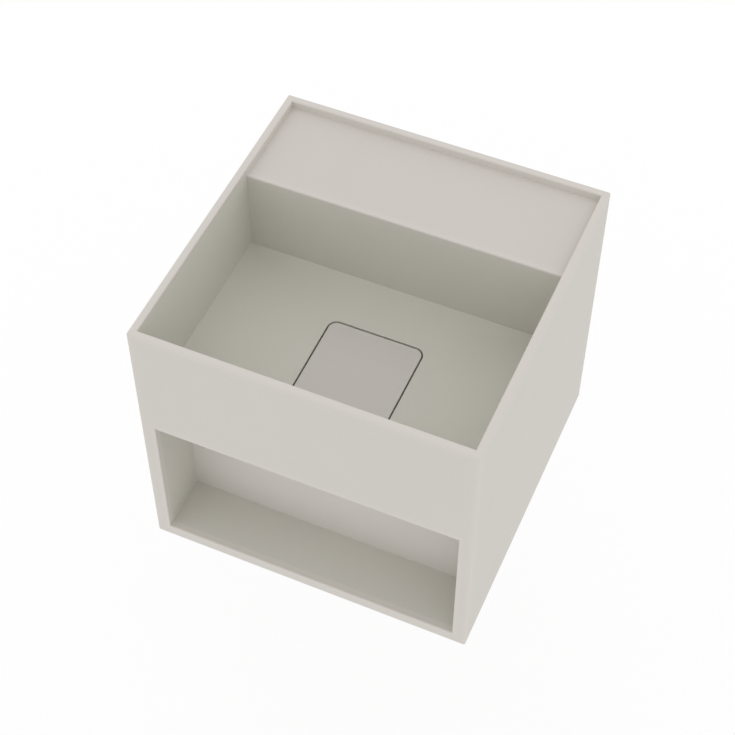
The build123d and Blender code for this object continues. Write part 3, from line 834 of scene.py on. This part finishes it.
    def lay_tray_bead(self, shape: bmesh.types.BMesh) -> None:
        """Lay the bead round the drain tray, straight along its sides and turned at its corners."""
        low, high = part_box("drain_tray")
        centre = (low + high) / 2
        run = (high.x - low.x) / 2 - self.tray_corner
        start = Vector((high.x, centre.y - run, high.z))
        section = self.bead_section(shape, start, Vector((1, 0, 0)), -UP)
        front = list(section.edges)
        shape.faces.remove(section)
        for quarter in range(4):
            heading = Matrix.Rotation(quarter * math.pi / 2, 3, "Z")
            far = bmesh.ops.extrude_edge_only(shape, edges=front)["geom"]
            moved = [item for item in far if isinstance(item, bmesh.types.BMVert)]
            bmesh.ops.translate(shape, vec=heading @ Vector((0, 2 * run, 0)), verts=moved)
            pivot = centre + heading @ Vector((run, run, 0))
            ends = [item for item in far if isinstance(item, bmesh.types.BMEdge)]
            turned = bmesh.ops.spin(
                shape, geom=moved + ends, cent=pivot, axis=UP, angle=math.pi / 2, steps=self.corner_steps
            )["geom_last"]
            front = [item for item in turned if isinstance(item, bmesh.types.BMEdge)]
        bmesh.ops.remove_doubles(shape, verts=shape.verts, dist=TINY)


@dataclass
class DrainCover:
    """The lift-out cover of the drain pocket, on its four rubber feet."""

    sheet: Finish = SandedSolidSurface("sanded_cast_cover", SheetTintAndPaintedShade.COVER)
    rubber: Finish = MouldedRubber()
    foot_radius: float = 5 * MM
    foot_ease: float = 0.9 * MM
    pip_radius: float = 1.6 * MM
    pip_depth: float = 0.5 * MM
    foot_steps: int = 48

    def build(self) -> None:
        """Dress the plate and mould its feet."""
        dress("drain_cover", self.sheet)
        self.mould_feet()

    def mould_feet(self) -> None:
        """Mould the four feet, with rounded soles and the dimple that the mould's vent leaves."""
        shape = bmesh.new()
        low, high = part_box("cover_feet")
        radius, ease = self.foot_radius, self.foot_ease
        sole = [(0, low.z + self.pip_depth), (self.pip_radius, low.z)]
        tread = arc((radius - ease, low.z + ease), ease, 270, 360)
        outline = sole + tread + [(radius, high.z), (0, high.z)]
        for x in (low.x + radius, high.x - radius):
            for y in (low.y + radius, high.y - radius):
                turn(shape, outline, Vector((x, y, 0)), self.foot_steps)
        bmesh.ops.recalc_face_normals(shape, faces=shape.faces)
        add_piece("moulded_feet", shape, self.rubber, Body.COVER, "cover_feet")


@dataclass
class Waste:
    """The waste: plated body with its pipe thread, pressed grid with its screw, seals, washer and nut.

    The thread's lead is in turns below the tail's end. Its flank, crest and groove end or start at those
    shares of the pitch.
    """

    chrome: Finish = PolishedChrome()
    steel: Finish = BrushedSteel()
    rubber: Finish = MouldedRubber()
    tail_radius: float = 20.95 * MM
    tail_wall: float = 2.75 * MM
    thread_pitch: float = 2.309 * MM
    thread_depth: float = 1.3 * MM
    thread_lead: float = 1.2
    flank_end: float = 0.36
    crest_end: float = 0.50
    groove_start: float = 0.86
    flange_thickness: float = 2.5 * MM
    flange_ease: float = 1 * MM
    grid_clearance: float = 0.1 * MM
    crossbar_count: int = 3
    crossbar_width: float = 4 * MM
    crossbar_height: float = 6 * MM
    crossbar_drop: float = 9 * MM
    boss_radius: float = 5.5 * MM
    screw_radius: float = 3.05 * MM
    hole_radius: float = 3 * MM
    hole_rings: tuple[tuple[float, int], ...] = ((10 * MM, 6), (19 * MM, 12))
    hole_lip: float = 0.45 * MM
    hole_steps: int = 36
    screw_ease: float = 0.25 * MM
    washer_ease: float = 0.3 * MM
    nut_ease: float = 0.5 * MM

    def build(self) -> None:
        """Turn the body, press the grid, and dress the rest."""
        self.turn_body()
        self.press_grid()
        add_eased("slotted_screw", "grid_screw", self.steel, Body.ROOT, self.screw_ease)
        add_eased("pressed_slip_washer", "slip_washer", self.steel, Body.ROOT, self.washer_ease)
        add_eased("turned_waste_nut", "waste_nut", self.chrome, Body.ROOT, self.nut_ease)
        for name in ("flange_seal", "tail_cone_seal"):
            dress(name, self.rubber)

    def turn_body(self) -> None:
        """Turn the body: a rounded flange, a conical throat, a threaded tail and the crossbar inside."""
        low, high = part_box("waste_body")
        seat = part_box("waste_grid")
        foot = (low + high) / 2
        flange = (high.x - low.x) / 2
        under_flange = high.z - self.flange_thickness
        seat_radius = (seat[1].x - seat[0].x) / 2 + self.grid_clearance
        throat = self.tail_radius - self.tail_wall
        shape = bmesh.new()
        rim = arc((flange - self.flange_ease, high.z - self.flange_ease), self.flange_ease, 0, 90)
        inside = [
            (seat_radius, high.z), (seat_radius, seat[0].z), (seat_radius - self.tail_wall, seat[0].z),
            (throat, seat[0].z - self.tail_wall), (throat, low.z),
        ]
        turn(shape, [(flange, under_flange)] + rim + inside, foot)
        self.add_crossbar(shape, foot, high.z - self.crossbar_drop, throat)
        self.cut_thread(shape, foot, low.z, under_flange)
        for height in (low.z, under_flange):
            bmesh.ops.bridge_loops(shape, edges=open_edges(shape, height))
        bmesh.ops.recalc_face_normals(shape, faces=shape.faces)
        add_piece("threaded_waste_body", shape, self.chrome, Body.ROOT, "waste_body")

    def cut_thread(self, shape: bmesh.types.BMesh, foot: Vector, bottom: float, top: float) -> None:
        """Cut the tail's pipe thread between two heights, open at both ends.

        Args:
            shape: the bmesh that gets the threaded wall.
            foot: a point on the tail's axis.
            bottom: the height of the tail's end.
            top: the height of the flange's underside.
        """
        pitch, crest, root = self.thread_pitch, self.tail_radius, self.tail_radius - self.thread_depth
        start = bottom - self.thread_lead * pitch
        turns = math.ceil((top - start) / pitch) + 1
        tooth = (
            (root, 0), (crest, self.flank_end), (crest, self.crest_end), (root, self.groove_start), (root, 1)
        )
        wall = bmesh.new()
        verts = [wall.verts.new((foot.x + radius, foot.y, start + rise * pitch)) for radius, rise in tooth]
        edges = [wall.edges.new(pair) for pair in zip(verts, verts[1:])]
        climb = UP * pitch / AROUND
        bmesh.ops.spin(
            wall, geom=verts + edges, cent=foot, axis=UP, dvec=climb, angle=math.tau, steps=AROUND
        )
        first_turn = wall.verts[:] + wall.edges[:] + wall.faces[:]
        for number in range(1, turns):
            copied = bmesh.ops.duplicate(wall, geom=first_turn)["geom"]
            raised = [item for item in copied if isinstance(item, bmesh.types.BMVert)]
            bmesh.ops.translate(wall, vec=UP * pitch * number, verts=raised)
        bmesh.ops.remove_doubles(wall, verts=wall.verts, dist=TINY)
        for height, outward in ((bottom, -UP), (top, UP)):
            everything = wall.verts[:] + wall.edges[:] + wall.faces[:]
            bmesh.ops.bisect_plane(
                wall, geom=everything, plane_co=(0, 0, height), plane_no=outward, clear_outer=True
            )
        mesh = bpy.data.meshes.new("tail_thread")
        wall.to_mesh(mesh)
        wall.free()
        shape.from_mesh(mesh)
        bpy.data.meshes.remove(mesh)

    def add_crossbar(self, shape: bmesh.types.BMesh, foot: Vector, top: float, throat: float) -> None:
        """Add the boss for the grid's screw and the bars that carry it, let into the throat's wall."""
        bottom, bore, outer = top - self.crossbar_height, self.screw_radius, self.boss_radius
        turn(shape, [(bore, bottom), (outer, bottom), (outer, top), (bore, top), (bore, bottom)], foot)
        let_in = self.tail_wall / 4
        start, end = (bore + outer) / 2, throat + let_in
        for bar in range(self.crossbar_count):
            made = bmesh.ops.create_cube(shape, size=1)["verts"]
            bmesh.ops.scale(shape, vec=(end - start, self.crossbar_width, self.crossbar_height), verts=made)
            bmesh.ops.translate(shape, vec=((start + end) / 2, 0, (bottom + top) / 2), verts=made)
            heading = Matrix.Rotation(bar * math.tau / self.crossbar_count, 3, "Z")
            bmesh.ops.rotate(shape, cent=(0, 0, 0), matrix=heading, verts=made)
            bmesh.ops.translate(shape, vec=(foot.x, foot.y, 0), verts=made)

    def press_grid(self) -> None:
        """Press the grid from sheet, with a rolled lip round each hole and round its rim."""
        low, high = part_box("waste_grid")
        foot, radius, lip = (low + high) / 2, (high.x - low.x) / 2, self.hole_lip
        shape = bmesh.new()
        holes = [(foot, self.screw_radius)]
        for ring, count in self.hole_rings:
            spokes = [Matrix.Rotation(hole * math.tau / count, 3, "Z") for hole in range(count)]
            holes += [(foot + spoke @ Vector((ring, 0, 0)), self.hole_radius) for spoke in spokes]
        for place, hole in holes:
            rolled = arc((hole + lip, high.z - lip), lip, 90, 180)
            turn(shape, rolled + [(hole, low.z)], place, self.hole_steps)
        turn(shape, arc((radius - lip, high.z - lip), lip, 90, 0) + [(radius, low.z)], foot)
        for height in (high.z, low.z):
            bmesh.ops.triangle_fill(shape, edges=open_edges(shape, height), use_beauty=True)
        bmesh.ops.recalc_face_normals(shape, faces=shape.faces)
        add_piece("pressed_grid", shape, self.steel, Body.ROOT, "waste_grid")


@dataclass
class BottleTrap:
    """The bottle trap with its nuts, seals, dip tube, outlet pipe and unscrewing cup."""

    plastic: Finish = MouldedPolypropylene()
    rubber: Finish = MouldedRubber()
    mould_ease: float = 0.5 * MM
    foot_ring_width: float = 5 * MM
    foot_ring_depth: float = 0.8 * MM
    thread_pitch: float = 5 * MM
    thread_turns: float = 2.0
    thread_height: float = 0.2 * MM
    thread_width: float = 1.8 * MM
    thread_crest: float = 0.6 * MM
    thread_start: float = 1.6 * MM

    def build(self) -> None:
        """Mould the nuts and the cup, and dress the rest."""
        for name in ("dip_tube", "trap_body", "outlet_pipe"):
            dress(name, self.plastic)
        for name in ("union_washer", "trap_top_seal", "outlet_seal", "cup_seal"):
            dress(name, self.rubber)
        for node_name in ("union_nut", "trap_top_nut", "outlet_nut"):
            name = f"moulded_{node_name}"
            add_eased(name, node_name, self.plastic, Body.ROOT, self.mould_ease)
        add_eased(
            "moulded_trap_cup", "trap_cup", self.plastic, Body.CUP, self.mould_ease,
            self.sink_base,
        )
        self.mould_thread()

    def sink_base(self, shape: bmesh.types.BMesh) -> None:
        """Sink the middle of the cup's base, as moulders do to keep it flat."""
        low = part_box("trap_cup")[0].z
        base = [face for face in shape.faces if all(abs(vert.co.z - low) < TINY for vert in face.verts)]
        shape.normal_update()
        depth = self.foot_ring_depth
        bmesh.ops.inset_region(shape, faces=base, thickness=self.foot_ring_width, use_even_offset=True)
        bmesh.ops.inset_region(shape, faces=base, thickness=depth, depth=-depth, use_even_offset=True)

    def mould_thread(self) -> None:
        """Mould the coarse thread round the housing's end, which the cup's collar screws over."""
        low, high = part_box("cup_seal")
        foot, radius = (low + high) / 2, (high.x - low.x) / 2
        start = high.z + self.thread_start
        shape = bmesh.new()
        sunk, crest = radius - self.thread_height, radius + self.thread_height
        half_foot, half_crest = self.thread_width / 2, self.thread_crest / 2
        ridge = ((sunk, -half_foot), (crest, -half_crest), (crest, half_crest), (sunk, half_foot))
        verts = [shape.verts.new((foot.x + out, foot.y, start + rise)) for out, rise in ridge]
        section = shape.faces.new(verts)
        steps = round(self.thread_turns * AROUND)
        climb = UP * self.thread_pitch / AROUND
        bmesh.ops.spin(
            shape, geom=[section], cent=foot, axis=UP, dvec=climb, angle=self.thread_turns * math.tau,
            steps=steps,
        )
        bmesh.ops.recalc_face_normals(shape, faces=shape.faces)
        add_piece("trap_body_thread", shape, self.plastic, Body.ROOT)


@dataclass
class Studio:
    """The floor under the hung basin, an even white dome, and the camera of the photograph's view.

    Lengths are in metres, but the lens and the sensor are in millimetres, as a camera maker gives them.
    """

    rim_height: float = 0.85
    floor_radius: float = 4.0
    floor_sides: int = 96
    dome_colour: str = "#FFFFFF"
    dome_strength: float = 1.0
    eye: tuple[float, float, float] = (0.49649, -1.15792, 1.77630)
    heading: float = math.radians(23.656)
    tilt: float = math.radians(51.602)
    roll: float = math.radians(0.037)
    lens: float = 84.915
    sensor: float = 36.0

    def build(self) -> None:
        """Make the floor, the dome and the camera."""
        self.lay_floor()
        self.light()
        self.aim_camera()

    def lay_floor(self) -> None:
        """Lay a round floor at the depth that puts the basin's rim at its usual height."""
        shape = bmesh.new()
        bmesh.ops.create_circle(shape, cap_ends=True, segments=self.floor_sides, radius=self.floor_radius)
        bmesh.ops.translate(shape, verts=shape.verts, vec=(0, 0, cad_box[1].z - self.rim_height))
        make_object("floor", shape, WhiteFloorPaint())
        log.info("floor: %.3f m below the rim", self.rim_height)

    def light(self) -> None:
        """Light everything from an even white dome, at the level where a colour shows as it is written."""
        world = bpy.data.worlds.new("white_dome")
        world.use_nodes = True
        world.node_tree.nodes.clear()
        dome = add_node(
            world.node_tree, "ShaderNodeBackground",
            {"Color": linear(self.dome_colour), "Strength": self.dome_strength},
        ).outputs["Background"]
        add_node(world.node_tree, "ShaderNodeOutputWorld", links={"Surface": dome})
        bpy.context.scene.world = world

    def aim_camera(self) -> None:
        """Set the camera at the photograph's place, direction and lens."""
        lens = bpy.data.cameras.new("camera")
        lens.sensor_width = self.sensor
        lens.lens = self.lens
        camera = bpy.data.objects.new("camera", lens)
        aim = Matrix.Rotation(self.heading, 4, "Z") @ Matrix.Rotation(math.pi / 2 - self.tilt, 4, "X")
        camera.matrix_world = Matrix.Translation(self.eye) @ aim @ Matrix.Rotation(self.roll, 4, "Z")
        bpy.context.scene.collection.objects.link(camera)
        bpy.context.scene.camera = camera
        bpy.context.scene.view_settings.view_transform = "Standard"


def main() -> None:
    """Build and dress the basin, then its studio."""
    logging.basicConfig(level=logging.INFO, format="%(message)s")
    for assembly in (Carcass(), DrainCover(), Waste(), BottleTrap(), Studio()):
        assembly.build()


if __name__ == "__main__":
    main()
